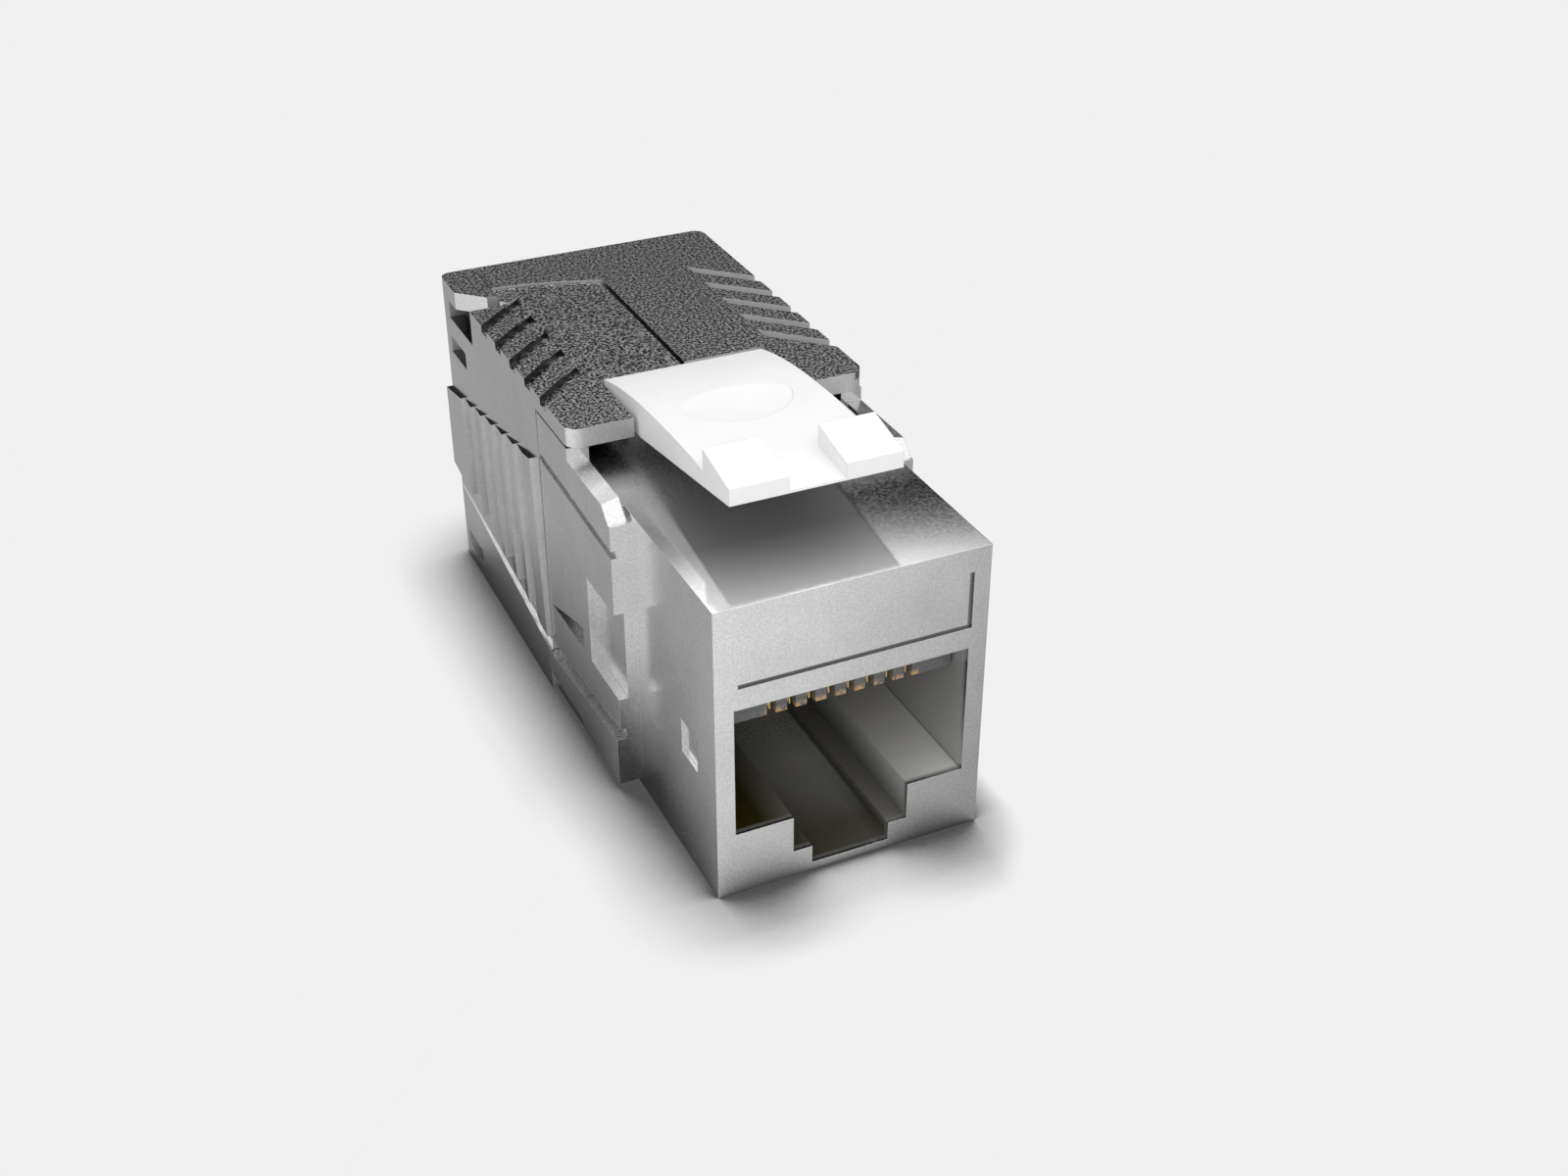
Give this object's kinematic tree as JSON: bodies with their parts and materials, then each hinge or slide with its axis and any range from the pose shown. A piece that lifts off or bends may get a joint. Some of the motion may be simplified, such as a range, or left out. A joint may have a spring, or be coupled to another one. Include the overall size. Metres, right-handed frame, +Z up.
{
  "type": "keystone jack",
  "caption": "Shielded toolless keystone jack: die-cast housing with a modular plug port, white latch clip and two rear wings that swing open for the cable.",
  "frame": {"origin": "under the middle of the whole jack, on its flat bottom", "axes": "+Y towards the cable end, -Y out of the plug port, +Z up, +X to the right seen from the port"},
  "size_m": [0.0166, 0.0366, 0.0203],
  "materials": {
    "die_cast": "plated zinc casting, fine satin grain",
    "latch_plastic": "white moulded, satin",
    "insert_plastic": "light grey moulded",
    "block_plastic": "black moulded",
    "manager_plastic": "light moulded",
    "board": "green solder mask",
    "gold_wire": "gold plated",
    "tinned_bronze": "tin plated",
    "pin_steel": "ground steel"
  },
  "bodies": {
    "housing": {"front_housing": "die_cast", "contact_carrier": "insert_plastic", "circuit_board": "board", "terminal_block": "block_plastic", "wire_manager": "manager_plastic", "hinge_pin_left_top": "pin_steel", "hinge_pin_left_bottom": "pin_steel", "hinge_pin_right_top": "pin_steel", "hinge_pin_right_bottom": "pin_steel", "contact_1": "gold_wire", "contact_2": "gold_wire", "contact_3": "gold_wire", "contact_4": "gold_wire", "contact_5": "gold_wire", "contact_6": "gold_wire", "contact_7": "gold_wire", "contact_8": "gold_wire", "idc_contact_1": "tinned_bronze", "idc_contact_2": "tinned_bronze", "idc_contact_3": "tinned_bronze", "idc_contact_4": "tinned_bronze", "idc_contact_5": "tinned_bronze", "idc_contact_6": "tinned_bronze", "idc_contact_7": "tinned_bronze", "idc_contact_8": "tinned_bronze"},
    "left_wing": {"left_wing": "die_cast"},
    "right_wing": {"right_wing": "die_cast"},
    "latch_clip": {"latch_clip": "latch_plastic"}
  },
  "joints": [
    {"name": "left_wing_hinge", "type": "hinge", "parent": "housing", "child": "left_wing", "pos_m": [-0.00733, -0.00253, 0.0089], "axis": [0, 0, 1], "range_deg": [0, 90]},
    {"name": "right_wing_hinge", "type": "hinge", "parent": "housing", "child": "right_wing", "pos_m": [0.00733, -0.00253, 0.0089], "axis": [0, 0, -1], "range_deg": [0, 90]},
    {"name": "latch_flex", "type": "hinge", "parent": "housing", "child": "latch_clip", "pos_m": [0, -0.00035, 0.0155], "axis": [1, 0, 0], "range_deg": [0, 9], "stiffness_Nm_per_rad": 0.4}
  ]
}
